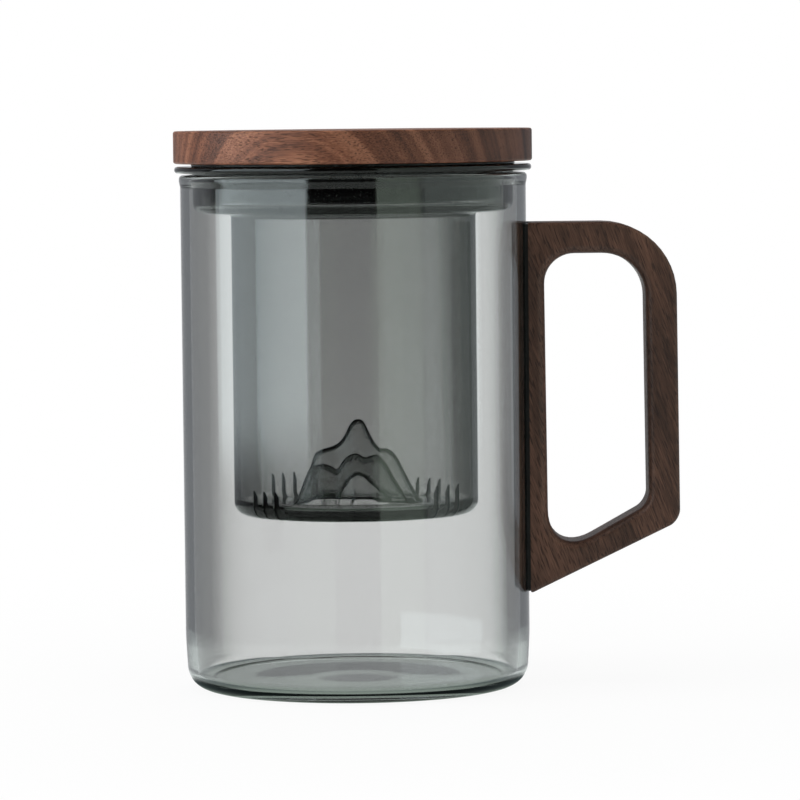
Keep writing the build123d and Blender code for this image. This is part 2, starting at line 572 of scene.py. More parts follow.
def pick_verts(piece: bpy.types.Object, test: Callable[[Vector], bool]) -> None:
    """Selects the vertices of an open piece that pass a test of their place."""
    mesh = bmesh.from_edit_mesh(piece.data)
    for vert in mesh.verts:
        vert.select = test(vert.co)
    mesh.select_flush_mode()
    bmesh.update_edit_mesh(piece.data)


def pick_edges(piece: bpy.types.Object, test: Callable[[bmesh.types.BMEdge], bool]) -> None:
    """Selects the edges of an open piece that pass a test."""
    mesh = bmesh.from_edit_mesh(piece.data)
    for edge in mesh.edges:
        edge.select_set(test(edge))
    mesh.select_flush_mode()
    bmesh.update_edit_mesh(piece.data)


@dataclass(frozen=True)
class Corner:
    """One corner of an outline in the upright plane through the axis."""

    across: float                   # distance from the axis, or X
    up: float
    rounding: float = 0.0
    cuts: int = 0                   # points added on the run to the next corner

    def point(self) -> Vector:
        """Gives the corner's place, in the plane of X and Z."""
        return Vector((self.across, 0.0, self.up))


@dataclass
class Outline:
    """A wire drawn from corners, with its corners rounded."""

    name: str
    corners: Sequence[Corner]
    closed: bool = False
    segments: int = 9

    def draw(self) -> bpy.types.Object:
        """Draws the wire.

        Returns:
            The new mesh object, which holds one run of edges.
        """
        bpy.ops.mesh.primitive_plane_add(size=MM, location=(0, 0, 0))
        wire = bpy.context.object
        wire.name = wire.data.name = self.name
        places = [corner.point() for corner in self.corners]
        with edit_mode(wire):
            bpy.ops.mesh.select_all(action="SELECT")
            bpy.ops.mesh.merge(type="CENTER")
            bpy.ops.transform.translate(value=places[0])
            for start, end in zip(places, places[1:]):
                bpy.ops.mesh.extrude_vertices_move(TRANSFORM_OT_translate={"value": end - start})
            if self.closed:
                ends = (places[0], places[-1])
                pick_verts(wire, lambda co: any((co - end).length < SAME_PLACE for end in ends))
                bpy.ops.mesh.edge_face_add()
        self._cut_runs(wire)
        self._round_corners(wire)
        return wire

    def _cut_runs(self, wire: bpy.types.Object) -> None:
        """Adds the points that runs of the outline ask for."""
        for corner, following in zip(self.corners, self.corners[1:]):
            if corner.cuts:
                run = {corner.point().freeze(), following.point().freeze()}
                with edit_mode(wire, "EDGE"):
                    pick_edges(wire, lambda edge: all(
                        any((vert.co - end).length < SAME_PLACE for end in run) for vert in edge.verts))
                    bpy.ops.mesh.subdivide(number_cuts=corner.cuts)

    def _round_corners(self, wire: bpy.types.Object) -> None:
        """Bevels each corner to its rounding."""
        count = len(self.corners)
        for index, corner in enumerate(self.corners):
            if not corner.rounding:
                continue
            here = corner.point()
            before = self.corners[index - 1].point() - here
            after = self.corners[(index + 1) % count].point() - here
            half_angle = before.angle(after) / 2
            with edit_mode(wire):
                pick_verts(wire, lambda co: (co - here).length < SAME_PLACE)
                bpy.ops.mesh.bevel(offset=corner.rounding / math.tan(half_angle), segments=self.segments,
                                   profile=0.5, affect="VERTICES")


@dataclass
class Turning:
    """A piece turned on the lathe about the upright axis."""

    outline: Outline
    steps: int = 256

    def turn(self) -> bpy.types.Object:
        """Spins the outline into a closed shell.

        Returns:
            The turned piece.
        """
        piece = self.outline.draw()
        with edit_mode(piece):
            bpy.ops.mesh.select_all(action="SELECT")
            bpy.ops.mesh.spin(steps=self.steps, angle=FULL_TURN, center=(0, 0, 0), axis=(0, 0, 1))
            close_shell()
        return piece


def close_shell() -> None:
    """Merges the doubles of the open piece and points its faces outwards."""
    bpy.ops.mesh.select_all(action="SELECT")
    bpy.ops.mesh.remove_doubles(threshold=SAME_PLACE)
    bpy.ops.mesh.normals_make_consistent(inside=False)


def apply_modifier(piece: bpy.types.Object, kind: str, **settings: Any) -> None:
    """Adds a modifier to a piece and applies it.

    Args:
        piece: The piece.
        kind: The modifier's type.
        settings: Its settings.
    """
    select_only(piece)
    modifier = piece.modifiers.new(kind.lower(), kind)
    for name, value in settings.items():
        setattr(modifier, name, value)
    bpy.ops.object.modifier_apply(modifier=modifier.name)


def smooth(piece: bpy.types.Object, angle: float = 35.0) -> None:
    """Shades a piece smoothly, with its long faces keeping their own normals."""
    select_only(piece)
    bpy.ops.object.shade_smooth_by_angle(angle=math.radians(angle))
    apply_modifier(piece, "WEIGHTED_NORMAL", keep_sharp=True, weight=50)


def cut_away(piece: bpy.types.Object, tool: bpy.types.Object) -> None:
    """Cuts a tool's shape out of a piece and throws the tool away.

    Args:
        piece: The piece to cut.
        tool: The cutting shape, whose finish the cut faces take if it has one.
    """
    finish = "TRANSFER" if tool.data.materials else "INDEX"
    apply_modifier(piece, "BOOLEAN", operation="DIFFERENCE", object=tool, solver="EXACT",
                   material_mode=finish)
    bpy.data.objects.remove(tool)


def hand_over(piece: bpy.types.Object, node: str, body: Body, slot: Slot,
              *materials: bpy.types.Material) -> None:
    """Dresses a finished piece and puts it in the place of its CAD node.

    Args:
        piece: The finished piece.
        node: The CAD node that it stands for.
        body: The body that it moves with.
        slot: The finish that the record names for it; not used.
        materials: Its materials, in the order of its faces' indices.
    """
    if not piece.data.materials:
        for material in materials:
            piece.data.materials.append(material)
    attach(piece, body.value)
    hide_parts(node)
    LOG.info("%s: %d faces, moves with %s", piece.name, len(piece.data.polygons), body.value)


# ---- the cup ---------------------------------------------------------------------


@dataclass
class Cup:
    """The straight glass cup with its rolled rim."""

    radius: float = 42.5 * MM
    wall: float = 2.2 * MM
    height: float = 126.5 * MM
    floor: float = 2.5 * MM
    base_round: float = 5.6 * MM
    lip_roundness: float = 0.46     # radius of the lip's edges over the wall's thickness
    bead_height: float = 2.1 * MM
    bead_proud: float = 0.3 * MM
    bead_run: float = 3.0           # length of the swelling under the bead over bead_proud
    bead_root_round: float = 1.5 * MM
    bead_shoulder: float = 0.3      # share of its height at which it is fully proud
    bead_shoulder_round: float = 0.6 * MM
    push_up: float = 0.85 * MM      # hollow of the underside
    foot_ring: float = 27.0 * MM    # where the hollow begins
    hollow_flat: float = 10.0 * MM  # and where it is deepest
    hollow_rings: int = 40
    crease: float = 35.5 * MM       # radius at which the floor steps up to the wall's sweep
    crease_round: float = 0.10 * MM
    step_rise: float = 0.35 * MM
    step_width: float = 0.10 * MM
    step_round: float = 0.06 * MM
    sweep_height: float = 0.6 * MM
    sweep_round: float = 2.2 * MM
    base_lean: float = 0.7 * MM     # how far the wall leans in above the base corner
    lean_height: float = 7.5 * MM
    lean_round: float = 60 * MM
    glass: SmokedGlass = SmokedGlass("cup_smoked_glass", (0.300, 0.325, 0.315), 140.0)

    @property
    def bore(self) -> float:
        """The inner radius."""
        return self.radius - self.wall

    def build(self) -> None:
        """Turns the cup and dresses it."""
        bead_foot = self.height - self.bead_height
        bead_root = bead_foot - self.bead_proud * self.bead_run
        bead_shoulder = bead_foot + self.bead_height * self.bead_shoulder
        bead_radius = self.radius + self.bead_proud
        lip_round = self.wall * self.lip_roundness
        outline = Outline("cup_glass_shell", [
            Corner(0, 0, cuts=self.hollow_rings),
            Corner(self.foot_ring, 0),
            Corner(self.radius - self.base_lean, 0, self.base_round),
            Corner(self.radius, self.base_round + self.lean_height, self.lean_round),
            Corner(self.radius, bead_root, self.bead_root_round),
            Corner(bead_radius, bead_shoulder, self.bead_shoulder_round),
            Corner(bead_radius, self.height, lip_round),
            Corner(self.bore, self.height, lip_round),
            Corner(self.bore, self.base_round + self.lean_height, self.lean_round),
            Corner(self.bore - self.base_lean, self.floor + self.sweep_height, self.sweep_round),
            Corner(self.crease + self.step_width, self.floor + self.step_rise, self.step_round),
            Corner(self.crease, self.floor, self.crease_round),
            Corner(0, self.floor),
        ])
        piece = Turning(outline).turn()
        self._hollow_underside(piece)
        smooth(piece, 20.0)
        hand_over(piece, "cup_glass", Body.CUP, Slot.CUP_GLASS, self.glass.build())

    def _hollow_underside(self, piece: bpy.types.Object) -> None:
        """Pushes the middle of the underside up, as a glass blower does."""
        for vert in piece.data.vertices:
            out = math.hypot(vert.co.x, vert.co.y) - self.hollow_flat
            share = max(0.0, out / (self.foot_ring - self.hollow_flat))
            if abs(vert.co.z) < SAME_PLACE and share < 1:
                vert.co.z += self.push_up * (1 - share ** 2) ** 2


# ---- the infuser -------------------------------------------------------------------


@dataclass(frozen=True)
class Ridge:
    """One long hump of the mountain, in millimetres."""

    depth: float                                    # Y of its crest
    slope: float                                    # rise over run of its front and back
    crest_round: float
    crest: tuple[tuple[float, float], ...]          # X and height above the floor

    def top(self, across: np.ndarray) -> np.ndarray:
        """Gives the crest's height at each X."""
        xs, heights = zip(*self.crest)
        return np.interp(across, xs, heights)

    def height(self, across: np.ndarray, depth: np.ndarray) -> np.ndarray:
        """Gives the hump's height, which is negative outside its foot.

        Args:
            across: X of each point.
            depth: Y of each point.

        Returns:
            The heights.
        """
        away = np.abs(depth - self.depth)
        rounded = away ** 2 / (2 * self.crest_round)
        drop = np.where(away < self.crest_round, rounded, away - self.crest_round / 2)
        return self.top(across) - drop * self.slope


@dataclass(frozen=True)
class Niche:
    """One arched niche in the mountain's front, in millimetres."""

    centre: float               # its X
    half_width: float
    top: float
    hollow: float = 0.95
    brow: float = 0.45          # height under the arch over which it deepens

    def inside(self, across: np.ndarray, height: np.ndarray) -> np.ndarray:
        """Gives 1 well inside the arch and 0 outside it."""
        arch = self.top * np.sqrt(np.clip(1 - ((across - self.centre) / self.half_width) ** 2, 0, 1))
        return np.clip((arch - height) / self.brow, 0, 1) * (arch > 0)


@dataclass
class Mountain:
    """The hollow mountain pressed up from the strainer's floor; all sizes in millimetres."""

    back: Ridge = Ridge(2.5, 3.0, 1.6, (
        (-15.0, -3.0), (-13.6, 2.0), (-12.3, 6.2), (-11.2, 8.9), (-10.8, 10.9), (-9.9, 12.5),
        (-8.3, 13.2), (-5.8, 13.8), (-4.1, 14.8), (-2.7, 16.6), (-1.7, 18.9), (-0.6, 20.2), (0.7, 20.6),
        (1.9, 20.1), (2.7, 18.8), (3.5, 16.8), (4.7, 14.6), (5.9, 13.2), (7.8, 13.2), (9.3, 12.3),
        (10.5, 10.6), (11.5, 8.6), (13.2, 5.1), (15.1, 1.6), (16.8, -0.6), (18.5, -3.0)))
    front: Ridge = Ridge(-5.0, 3.4, 1.1, (
        (-16.5, -2.8), (-15.1, 0.2), (-14.1, 2.4), (-13.1, 5.1), (-12.3, 7.3), (-11.3, 9.2), (-10.0, 9.8),
        (-8.0, 10.2), (-5.8, 9.5), (-4.6, 8.5), (-3.7, 10.2), (-2.4, 11.8), (-0.6, 12.6), (0.8, 12.4),
        (1.8, 11.6), (2.8, 11.6), (4.5, 12.2), (5.7, 12.1), (7.7, 9.6), (9.1, 6.9), (10.6, 4.4),
        (12.0, 2.1), (13.8, 0.2), (15.5, -2.4)))
    niches: tuple[Niche, ...] = (Niche(-6.4, 2.1, 7.4), Niche(-2.5, 1.8, 7.7))
    niche_ripple: Triple = (0.10, 5.6, 0.8)         # depth, and radians per millimetre of X and of height
    saddle: tuple[float, float] = (1.6, 5.4)        # X between which the two humps run together
    seam: float = 0.4                               # softness of the seam between the two humps
    saddle_seam: float = 1.6                        # how much softer it is in the saddle
    dimple: tuple[float, float, float, float] = (0.8, 0.9, 0.9, 0.45)     # X, Y, radius and depth
    plinth_height: float = 1.15
    plinth_foot: float = -3.0                       # its height outside, well under the floor
    plinth_slope: float = 2.6
    plinth_seam: float = 0.25
    plinth_length: float = 14.6                     # half of it
    plinth_front: float = 9.3                       # how far it comes forward
    plinth_back: float = 8.5                        # how far it goes back
    plinth_corners: float = 1.5                     # how far its outline's curve runs past its ends
    plinth_waves: tuple[Triple, ...] = (            # depth, radians per millimetre and start
        (0.42, 0.55, 0.6), (0.22, 1.25, 2.0))
    grid: float = 0.16                              # spacing of the height map
    half_width: float = 21.0
    half_depth: float = 15.0
    crest_blur: float = 0.24
    foot_round: float = 0.7
    floor_wall: float = 2.7
    hill_wall: float = 0.9
    thinning: float = 4.0                           # height over which the wall thins to the hill's

    def __post_init__(self) -> None:
        """Works out the outer and the inner height maps."""
        self.xs = np.arange(-self.half_width, self.half_width + self.grid / 2, self.grid)
        self.ys = np.arange(-self.half_depth, self.half_depth + self.grid / 2, self.grid)
        across, depth = np.meshgrid(self.xs, self.ys)
        self.outer = self._blurred(self._outer_height(across, depth), self.crest_blur)
        share = np.clip(self.outer / self.thinning, 0.0, 1.0)
        thick = self._hollowed(self.floor_wall) + self.floor_wall
        thin = self._hollowed(self.hill_wall) + self.floor_wall
        self.inner = np.maximum(thick * (1 - share) + thin * share, 0.0)

    def _outer_height(self, across: np.ndarray, depth: np.ndarray) -> np.ndarray:
        """Gives the raw height of the mountain's outside above the floor.

        Args:
            across: X of each point.
            depth: Y of each point.

        Returns:
            The heights.
        """
        start, end = self.saddle
        merging = np.clip(1 - np.abs(across - (start + end) / 2) / (end - start), 0, 1)
        height = self._joined(self.back.height(across, depth), self.front.height(across, depth),
                              self.seam + self.saddle_seam * merging)
        size, along, upward = self.niche_ripple
        for niche in self.niches:
            inside = niche.inside(across, height) * (depth < self.front.depth) * (height > 0)
            ripples = size * np.sin(across * along + height * upward)
            height = height - inside * (niche.hollow + ripples) * self.front.slope
        x, y, radius, deep = self.dimple
        height = height - deep * np.exp(-((across - x) ** 2 + (depth - y) ** 2) / radius ** 2 * 2)
        height = self._joined(height, self._plinth(across, depth), self.plinth_seam)
        soft = self.foot_round
        return np.where(height > soft, height, np.where(
            height < -soft, 0.0, (height + soft) ** 2 / (4 * soft)))

    def _joined(self, first: np.ndarray, second: np.ndarray, soft: float | np.ndarray) -> np.ndarray:
        """Gives the higher of two height maps with a rounded seam."""
        return (first + second + np.sqrt((first - second) ** 2 + soft ** 2)) / 2

    def _plinth(self, across: np.ndarray, depth: np.ndarray) -> np.ndarray:
        """Gives the low wavy plinth at the mountain's foot."""
        wave = sum(size * np.sin(across * turn + start) for size, turn, start in self.plinth_waves)
        reach = self.plinth_length + self.plinth_corners
        curve = np.sqrt(np.clip(1 - (across / reach) ** 4, 0, 1))
        within = np.minimum(self.plinth_front * curve + wave + depth, self.plinth_back * curve - depth)
        within = np.minimum(within, self.plinth_length - np.abs(across))
        return np.clip(within * self.plinth_slope, self.plinth_foot, self.plinth_height)

    def _blurred(self, heights: np.ndarray, radius: float) -> np.ndarray:
        """Softens a height map with a Gaussian of a radius."""
        reach = int(3 * radius / self.grid) + 1
        weights = np.exp(-0.5 * (np.arange(-reach, reach + 1) * self.grid / radius) ** 2)
        weights /= weights.sum()

        def softened(line: np.ndarray) -> np.ndarray:
            """Softens one row or column."""
            return np.convolve(np.pad(line, reach, mode="edge"), weights, mode="valid")

        for axis in (0, 1):
            heights = np.apply_along_axis(softened, axis, heights)
        return heights

    def _hollowed(self, wall: float) -> np.ndarray:
        """Gives the surface that lies one wall inside the mountain's outside."""
        reach = int(wall / self.grid)
        padded = np.pad(self.outer, reach, mode="edge")
        rows, columns = self.outer.shape
        inside = np.full(self.outer.shape, np.inf)
        for row, column in product(range(-reach, reach + 1), repeat=2):
            rise = wall ** 2 - (row ** 2 + column ** 2) * self.grid ** 2
            if rise >= 0:
                low, left = reach + row, reach + column
                shifted = padded[low:low + rows, left:left + columns]
                inside = np.minimum(inside, shifted - math.sqrt(rise))
        return inside

    def lift(self, heights: np.ndarray, x: float, y: float) -> float:
        """Reads a height map between its points.

        Args:
            heights: The outer or the inner map.
            x: X in metres.
            y: Y in metres.

        Returns:
            The height there, in metres.
        """
        column = (x / MM + self.half_width) / self.grid
        row = (y / MM + self.half_depth) / self.grid
        if not (0 <= column < len(self.xs) - 1 and 0 <= row < len(self.ys) - 1):
            return 0.0
        left, low = int(column), int(row)
        right_share, high_share = column - left, row - low
        lower = heights[low, left] * (1 - right_share) + heights[low, left + 1] * right_share
        upper = heights[low + 1, left] * (1 - right_share) + heights[low + 1, left + 1] * right_share
        return float(lower * (1 - high_share) + upper * high_share) * MM


@dataclass(frozen=True)
class SlitGroup:
    """Saw slits that stand side by side in the strainer's bottom corner."""

    middle: float               # degrees round the axis
    height: float               # above the underside, at the outer wall


@dataclass
class Infuser:
    """The glass infuser: flange, collar, narrow body, saw slits and mountain."""

    flange_underside: float = 127.0 * MM
    flange_thickness: float = 1.6 * MM
    flange_radius: float = 43.9 * MM
    flange_roundness: float = 0.47          # radius of its edges over its thickness
    flange_root_round: float = 0.45 * MM
    collar_radius: float = 39.4 * MM
    collar_wall: float = 2.1 * MM
    collar_depth: float = 9.9 * MM
    collar_round: float = 2.6 * MM
    shoulder: float = 2.0 * MM
    strainer_radius: float = 30.1 * MM
    strainer_wall: float = 1.6 * MM         # at the bottom
    wall_taper: float = 0.45 * MM           # how much thicker the wall is at the neck
    strainer_depth: float = 84.2 * MM
    strainer_round: float = 3.3 * MM
    strainer_floor: float = 2.7 * MM
    neck_round: float = 1.2 * MM
    hill_radius: float = 19.0 * MM          # the floor is finely ringed inside this
    hill_rings: int = 96
    slit_width: float = 0.60 * MM
    slit_reach: float = 7.5 * MM
    slit_pitch: float = 7.3                 # degrees
    slits_per_group: int = 3
    slit_groups: tuple[SlitGroup, ...] = (
        SlitGroup(-137.4, 7.1 * MM), SlitGroup(-42.6, 8.4 * MM),
        SlitGroup(130.75, 8.7 * MM), SlitGroup(49.25, 6.8 * MM))
    mountain: Mountain = field(default_factory=Mountain)
    glass: SmokedGlass = SmokedGlass("infuser_smoked_glass", (0.300, 0.310, 0.298), 410.0)
    # the slits' sawn faces carry a painted shade
    sawn_glass: PaintedShadeSawnGlass = PaintedShadeSawnGlass("infuser_sawn_glass_painted_shade")

    @property
    def underside(self) -> float:
        """The underside of the strainer's floor."""
        return self.flange_underside - self.strainer_depth

    @property
    def floor_top(self) -> float:
        """The upper face of the strainer's floor."""
        return self.underside + self.strainer_floor

    def build(self) -> None:
        """Turns the infuser, raises the mountain, saws the slits and dresses it."""
        piece = Turning(self._outline()).turn()
        self._raise_mountain(piece)
        piece.data.materials.append(self.glass.build())
        cut_away(piece, self._saw(self.sawn_glass.build()))
        smooth(piece, 40.0)
        hand_over(piece, "infuser_glass", Body.INFUSER, Slot.INFUSER_GLASS)

    def _outline(self) -> Outline:
        """Gives the profile, from the underside's centre round to the floor's centre."""
        flange_top = self.flange_underside + self.flange_thickness
        flange_round = self.flange_roundness * self.flange_thickness
        shoulder_underside = self.flange_underside - self.collar_depth
        shoulder_top = shoulder_underside + self.shoulder
        collar_bore = self.collar_radius - self.collar_wall
        strainer_bore = self.strainer_radius - self.strainer_wall
        neck_bore = strainer_bore - self.wall_taper
        return Outline("infuser_glass_shell", [
            Corner(0, self.underside, cuts=self.hill_rings),
            Corner(self.hill_radius, self.underside),
            Corner(self.strainer_radius, self.underside, self.strainer_round),
            Corner(self.strainer_radius, shoulder_underside, self.neck_round),
            Corner(self.collar_radius, shoulder_underside, self.collar_round),
            Corner(self.collar_radius, self.flange_underside, self.flange_root_round),
            Corner(self.flange_radius, self.flange_underside, flange_round),
            Corner(self.flange_radius, flange_top, flange_round),
            Corner(collar_bore, flange_top, flange_round),
            Corner(collar_bore, shoulder_top, self.collar_round - self.collar_wall),
            Corner(neck_bore, shoulder_top, self.neck_round + self.strainer_wall),
            Corner(strainer_bore, self.floor_top, self.strainer_round - self.strainer_wall),
            Corner(self.hill_radius, self.floor_top, cuts=self.hill_rings),
            Corner(0, self.floor_top),
        ])

    def _raise_mountain(self, piece: bpy.types.Object) -> None:
        """Presses the mountain up out of both faces of the floor."""
        for vert in piece.data.vertices:
            x, y, z = vert.co
            if math.hypot(x, y) < self.hill_radius:
                if abs(z - self.underside) < SAME_PLACE:
                    vert.co.z += self.mountain.lift(self.mountain.inner, x, y)
                elif abs(z - self.floor_top) < SAME_PLACE:
                    vert.co.z += self.mountain.lift(self.mountain.outer, x, y)

    def _blade(self, height: float, finish: bpy.types.Material) -> bpy.types.Object:
        """Models one saw blade, which stands along X.

        Args:
            height: How high it reaches on the outer wall.
            finish: What the sawn faces look like.

        Returns:
            The blade.
        """
        inner = self.strainer_radius - self.slit_reach - self.slit_width
        outer = self.strainer_radius + self.slit_width
        foot, tip = self.underside - self.slit_width, self.underside + height + self.slit_width
        blade = Outline("saw_blades", [
            Corner(inner, foot), Corner(outer, foot), Corner(outer, tip),
        ], closed=True).draw()
        with edit_mode(blade):
            bpy.ops.mesh.select_all(action="SELECT")
            bpy.ops.mesh.edge_face_add()
            bpy.ops.transform.translate(value=(0, -self.slit_width / 2, 0))
            bpy.ops.mesh.extrude_region_move(TRANSFORM_OT_translate={"value": (0, self.slit_width, 0)})
            close_shell()
        blade.data.materials.append(finish)
        return blade

    def _saw(self, finish: bpy.types.Material) -> bpy.types.Object:
        """Copies each group's saw blade to its slits.

        Args:
            finish: What the sawn faces look like.

        Returns:
            All the blades as one mesh.
        """
        blades = []
        for group in self.slit_groups:
            blade = self._blade(group.height, finish)
            for step in range(self.slits_per_group):
                spread = (step - (self.slits_per_group - 1) / 2) * self.slit_pitch
                copy = blade.copy()
                copy.data = blade.data.copy()
                bpy.context.collection.objects.link(copy)
                turn = Quaternion((0, 0, 1), math.radians(group.middle + spread))
                copy.data.transform(turn.to_matrix().to_4x4())
                blades.append(copy)
            bpy.data.objects.remove(blade)
        select_only(blades[0])
        for copy in blades:
            copy.select_set(True)
        bpy.ops.object.join()
        return bpy.context.object


# ---- the lid -----------------------------------------------------------------------


@dataclass
class Lid:
    """The walnut disc with its plug, and the silicone ring around the plug."""

    radius: float = 44.1 * MM
    underside: float = 129.3 * MM
    thickness: float = 8.0 * MM
    edge_round: float = 0.6 * MM
    plug_radius: float = 36.8 * MM
    plug_underside: float = 119.9 * MM
    plug_round: float = 2.4 * MM
    groove_radius: float = 34.5 * MM
    seal_radius: float = 37.0 * MM
    seal_height: float = 4.4 * MM
    seal_round: float = 0.57 * MM
    lip_radius: float = 39.8 * MM
    lip_thickness: float = 0.7 * MM
    lip_root_round: float = 0.15 * MM
    seat_gap: float = 0.02 * MM     # between the ring and the wood that holds it
    # the plug, below 129.0 mm, is painted near black: a painted shade for its place inside the collar
    walnut: Walnut = Walnut("lid_oiled_walnut", GrainCut(
        pivot=(0.0, 0.0, 133 * MM), fibre=(0.94, -0.342, 0.0), outward=(0.327, 0.90, 0.29),
        pith_distance=168.2 * MM, ring_width=2.8 * MM, ring_strength=1.0, end_grain=0.9),
        pale=(0.380, 0.168, 0.095), middle=(0.205, 0.078, 0.042), deep=(0.065, 0.023, 0.014),
        pore_width=0.27 * MM, painted_shade_top=129.0 * MM)
    silicone: Silicone = Silicone("seal_silicone")

    def build(self) -> None:
        """Turns the board and the ring and dresses them."""
        seal_foot = self.underside - self.seal_height
        board = Turning(Outline("lid_walnut_board", [
            Corner(0, self.plug_underside),
            Corner(self.plug_radius, self.plug_underside, self.plug_round),
            Corner(self.plug_radius, seal_foot),
            Corner(self.groove_radius, seal_foot),
            Corner(self.groove_radius, self.underside),
            Corner(self.radius, self.underside, self.edge_round),
            Corner(self.radius, self.underside + self.thickness, self.edge_round),
            Corner(0, self.underside + self.thickness),
        ], segments=5)).turn()
        smooth(board)
        hand_over(board, "lid_board", Body.LID, Slot.LID_WALNUT, self.walnut.build())

        inner, foot = self.groove_radius + self.seat_gap, seal_foot + self.seat_gap
        top, lip_foot = self.underside - self.seat_gap, self.underside - self.lip_thickness + self.seat_gap
        lip_round = self.lip_thickness / 3
        seal = Turning(Outline("lid_silicone_seal", [
            Corner(inner, foot),
            Corner(self.seal_radius, foot, self.seal_round),
            Corner(self.seal_radius, lip_foot, self.lip_root_round),
            Corner(self.lip_radius, lip_foot, lip_round),
            Corner(self.lip_radius, top, lip_round),
            Corner(inner, top),
        ], closed=True, segments=5)).turn()
        smooth(seal)
        hand_over(seal, "lid_seal", Body.LID, Slot.SILICONE, self.silicone.build())


# ---- the handle --------------------------------------------------------------------


@dataclass
class Handle:
    """The walnut handle, one board with a finger opening, and its black bond strip."""

    thickness: float = 14.5 * MM
    top: float = 114.15 * MM
    foot: float = 23.15 * MM
    grip_foot: float = 40.45 * MM
    grip_outside: float = 79.0 * MM
    lean: float = 0.6 * MM
    saddle_radius: float = 43.3 * MM
    saddle_length: float = 1.2          # length of the tool that cuts it over the board's height
    root: float = 40.3 * MM             # the board starts here and the saddle cuts it back
    bar: float = 7.7 * MM
    spine: float = 3.3 * MM
    brace: float = 8.2 * MM
    brace_root: float = 6.2 * MM
    top_round: float = 18.0 * MM
    foot_round: float = 4.5 * MM
    spine_round: float = 7.4 * MM
    bar_round: float = 10.6 * MM
    corner_round: float = 5.0 * MM
    finger_edge: float = 2.0 * MM
    outer_edge: float = 1.0 * MM
    edge_steps: int = 6
    bond_radius: float = 42.45 * MM     # a hair inside the glass, so that the two are in contact
    bond_inset: float = 0.4 * MM
    bond_round: float = 0.25 * MM
    bond_steps: int = 24
    walnut: Walnut = Walnut("handle_oiled_walnut", GrainCut(
        pivot=(60 * MM, 0.0, 70 * MM), fibre=(0.34, 0.0, -0.94), outward=(0.423, -0.89, 0.153),
        pith_distance=60 * MM, ring_width=3.4 * MM, ring_strength=0.6, end_grain=0.4),
        pale=(0.220, 0.108, 0.070), middle=(0.092, 0.046, 0.031), deep=(0.036, 0.018, 0.013))
    rubber: BondRubber = BondRubber("bond_black_rubber")

    def build(self) -> None:
        """Cuts the board out, rounds it, fits it to the cup and dresses it."""
        board = self._board()
        self._round_edges(board)
        cut_away(board, self._saddle())
        smooth(board, 30.0)
        hand_over(board, "handle", Body.CUP, Slot.HANDLE_WALNUT, self.walnut.build())
        strip = self._strip()
        smooth(strip)
        hand_over(strip, "handle_bond", Body.CUP, Slot.BOND, self.rubber.build())

    def _outer_corners(self) -> list[Corner]:
        """Gives the corners of the board's outer outline."""
        return [
            Corner(self.root, self.top),
            Corner(self.grip_outside, self.top, self.top_round),
            Corner(self.grip_outside + self.lean, self.grip_foot, self.foot_round),
            Corner(self.saddle_radius, self.foot),
            Corner(self.root, self.foot),
        ]

    def _opening_corners(self) -> list[Corner]:
        """Gives the corners of the finger opening."""
        spine_outside = self.saddle_radius + self.spine
        grip_inside = self.grip_outside - self.bar
        slope = (self.grip_foot - self.foot) / (self.grip_outside + self.lean - self.saddle_radius)
        grip_end = self.foot + slope * (grip_inside - self.saddle_radius)
        spine_end = self.foot + slope * self.spine
        return [
            Corner(spine_outside, self.top - self.bar, self.spine_round),
            Corner(grip_inside, self.top - self.bar, self.bar_round),
            Corner(grip_inside + self.lean, grip_end + self.brace, self.corner_round),
            Corner(spine_outside + self.lean, spine_end + self.brace_root, self.spine_round),
        ]

    def _board(self) -> bpy.types.Object:
        """Draws both outlines, joins them with faces and gives them the board's thickness."""
        board = Outline("handle_walnut_board", self._outer_corners(), closed=True, segments=12).draw()
        opening = Outline("handle_opening", self._opening_corners(), closed=True, segments=12).draw()
        select_only(board)
        opening.select_set(True)
        bpy.ops.object.join()
        with edit_mode(board, "EDGE"):
            bpy.ops.mesh.select_all(action="SELECT")
            bpy.ops.transform.translate(value=(0, -self.thickness / 2, 0))
            bpy.ops.mesh.fill(use_beauty=True)
            bpy.ops.mesh.select_all(action="SELECT")
            bpy.ops.mesh.dissolve_limited(angle_limit=math.radians(1), delimit=set())
            bpy.ops.mesh.select_all(action="SELECT")
            bpy.ops.mesh.extrude_region_move(TRANSFORM_OT_translate={"value": (0, self.thickness, 0)})
            close_shell()
        return board

    def _in_opening(self, place: Vector) -> bool:
        """Says whether a point of an outline is on the finger opening."""
        corners = self._opening_corners()
        low_x, high_x = min(c.across for c in corners), max(c.across for c in corners)
        low_z, high_z = min(c.up for c in corners), max(c.up for c in corners)
        slack = 0.05 * MM
        return low_x - slack < place.x < high_x + slack and low_z - slack < place.z < high_z + slack

    def _round_edges(self, board: bpy.types.Object) -> None:
        """Rounds the edges of the finger opening and then the outer edges."""
        facing_side = 0.9       # how much of a face's normal looks to the side

        def is_rim(edge: bmesh.types.BMEdge) -> bool:
            """Tells an edge between a flat side and the board's rim."""
            sides = [abs(face.normal.y) > facing_side for face in edge.link_faces]
            return any(sides) and not all(sides) and all(
                abs(abs(vert.co.y) - self.thickness / 2) < SAME_PLACE for vert in edge.verts)

        for offset, inside in ((self.finger_edge, True), (self.outer_edge, False)):
            with edit_mode(board, "EDGE"):
                pick_edges(board, lambda edge: is_rim(edge) and inside == all(
                    self._in_opening(vert.co) for vert in edge.verts))
                bpy.ops.mesh.bevel(offset=offset, segments=self.edge_steps, profile=0.5,
                                   affect="EDGES", clamp_overlap=False)

